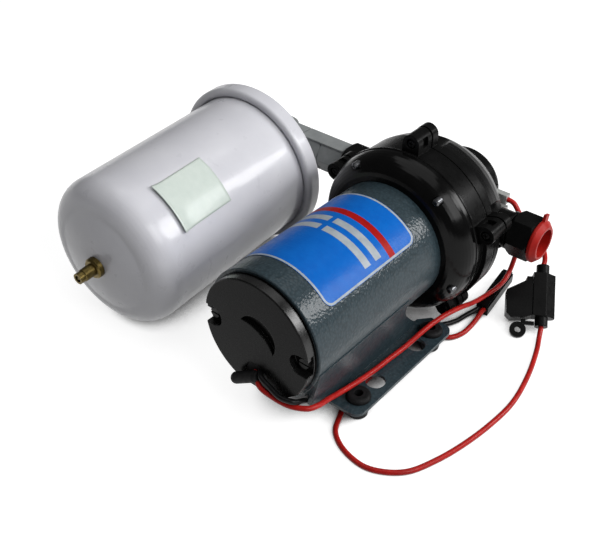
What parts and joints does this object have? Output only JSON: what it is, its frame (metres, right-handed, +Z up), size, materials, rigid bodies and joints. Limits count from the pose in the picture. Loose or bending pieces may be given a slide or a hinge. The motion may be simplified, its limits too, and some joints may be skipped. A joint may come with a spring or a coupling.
{
  "type": "caravan water pump",
  "caption": "Twelve-volt diaphragm water pump on rubber feet with a steel pressure tank piped beside it and a fused red lead.",
  "frame": {"origin": "on the floor at the centre of the rectangle of four foot holes", "axes": "+Z up; +Y along the motor axis from the motor end cap to the pump head; +X towards the plugged inlet port"},
  "size_m": [0.2873, 0.2345, 0.123],
  "materials": {
    "motor_paint": "hammertone grey-blue enamel",
    "black_plastic": "satin black moulding",
    "black_gloss": "glossy black moulding",
    "steel": "bright zinc",
    "bearing_steel": "ground",
    "dark_steel": "black zinc",
    "magnet": "sintered dark grey",
    "card": "pressed board",
    "carbon": "graphite",
    "copper": "copper",
    "rubber": "moulded rubber",
    "label": "printed film",
    "nylon": "natural nylon",
    "red_plastic": "soft moulded",
    "grey_plastic": "satin grey moulding",
    "clear_sleeve": "milky clear",
    "tinned": "tinned brass",
    "red_wire": "wire insulation",
    "black_wire": "wire insulation",
    "tank_white": "gloss white enamel",
    "brass": "machined brass",
    "fuse_amber": "clear coloured plastic",
    "sticker": "printed film"
  },
  "bodies": {
    "pump": {"motor_can": "motor_paint", "motor_end_cap": "black_plastic", "through_bolts": "dark_steel", "magnets": "magnet", "brush_card": "card", "brushes": "carbon", "rear_bearing": "bearing_steel", "front_bearing": "bearing_steel", "base_bracket": "motor_paint", "rubber_feet": "rubber", "motor_label": "label", "drive_housing": "black_gloss", "housing_screws": "steel", "diaphragm": "rubber", "valve_ring": "black_plastic", "valve_plate": "nylon", "valve_flaps": "rubber", "head_gasket": "rubber", "head_cover": "black_plastic", "head_screws": "dark_steel", "port_seals": "rubber", "outlet_union": "grey_plastic", "tank_manifold": "grey_plastic", "switch_housing": "black_plastic", "switch_spring": "steel", "switch_terminals": "tinned", "terminal_sleeves": "clear_sleeve", "wire_grommet": "rubber", "motor_red_lead": "red_wire", "motor_black_lead": "black_wire", "switch_lead": "red_wire", "fuse_lead": "red_wire", "lead_connector": "black_plastic", "fuse_body": "black_plastic", "blade_fuse": "fuse_amber", "fuse_tether": "black_plastic", "tank_shell": "tank_white", "tank_rim": "tank_white", "tank_end_plate": "tank_white", "tank_membrane": "rubber", "water_stub": "brass", "air_valve": "brass", "tank_sticker": "sticker"},
    "rotor": {"motor_shaft": "bearing_steel", "armature_core": "bearing_steel", "armature_windings": "copper", "commutator": "copper", "eccentric_hub": "bearing_steel"},
    "wobble": {"wobble_bearing": "bearing_steel", "wobble_plate": "nylon", "pistons": "nylon"},
    "inlet_nut_body": {"inlet_nut": "black_plastic"},
    "plug_body": {"inlet_plug": "red_plastic"},
    "outlet_nut_body": {"outlet_nut": "black_plastic"},
    "fuse_cap_body": {"fuse_cap": "black_plastic"},
    "adjuster_body": {"pressure_adjuster": "steel"},
    "plunger_body": {"switch_plunger": "nylon"},
    "valve_pin_body": {"valve_pin": "brass"}
  },
  "joints": [
    {"name": "motor_spin", "type": "hinge", "parent": "pump", "child": "rotor", "pos_m": [0, 0, 0.0602], "axis": [0, 1, 0], "continuous": true},
    {"name": "wobble_turn", "type": "hinge", "parent": "rotor", "child": "wobble", "pos_m": [0, 0.049, 0.0602], "axis": [0, 0.9976, 0.0698], "continuous": true},
    {"name": "inlet_nut_turn", "type": "hinge", "parent": "pump", "child": "inlet_nut_body", "pos_m": [0.063, 0.093, 0.0627], "axis": [1, 0, 0], "continuous": true},
    {"name": "plug_pull", "type": "slide", "parent": "inlet_nut_body", "child": "plug_body", "axis": [1, 0, 0], "range_m": [0, 0.03]},
    {"name": "outlet_nut_turn", "type": "hinge", "parent": "pump", "child": "outlet_nut_body", "pos_m": [-0.063, 0.093, 0.0627], "axis": [-1, 0, 0], "continuous": true},
    {"name": "fuse_cap_pull", "type": "slide", "parent": "pump", "child": "fuse_cap_body", "axis": [-0.848, -0.5299, 0], "range_m": [0, 0.009]},
    {"name": "pressure_set", "type": "hinge", "parent": "pump", "child": "adjuster_body", "pos_m": [0, 0.1355, 0.0602], "axis": [0, 1, 0], "range_deg": [-180, 180]},
    {"name": "switch_press", "type": "slide", "parent": "pump", "child": "plunger_body", "axis": [0, 1, 0], "range_m": [0, 0.0015], "stiffness_N_per_m": 1500},
    {"name": "air_valve_press", "type": "slide", "parent": "pump", "child": "valve_pin_body", "axis": [-0.0504, 0.9983, 0.0309], "range_m": [0, 0.0015], "stiffness_N_per_m": 400}
  ],
  "couplings": [
    {"joint": "wobble_turn", "follows": "motor_spin", "ratio": -1}
  ]
}
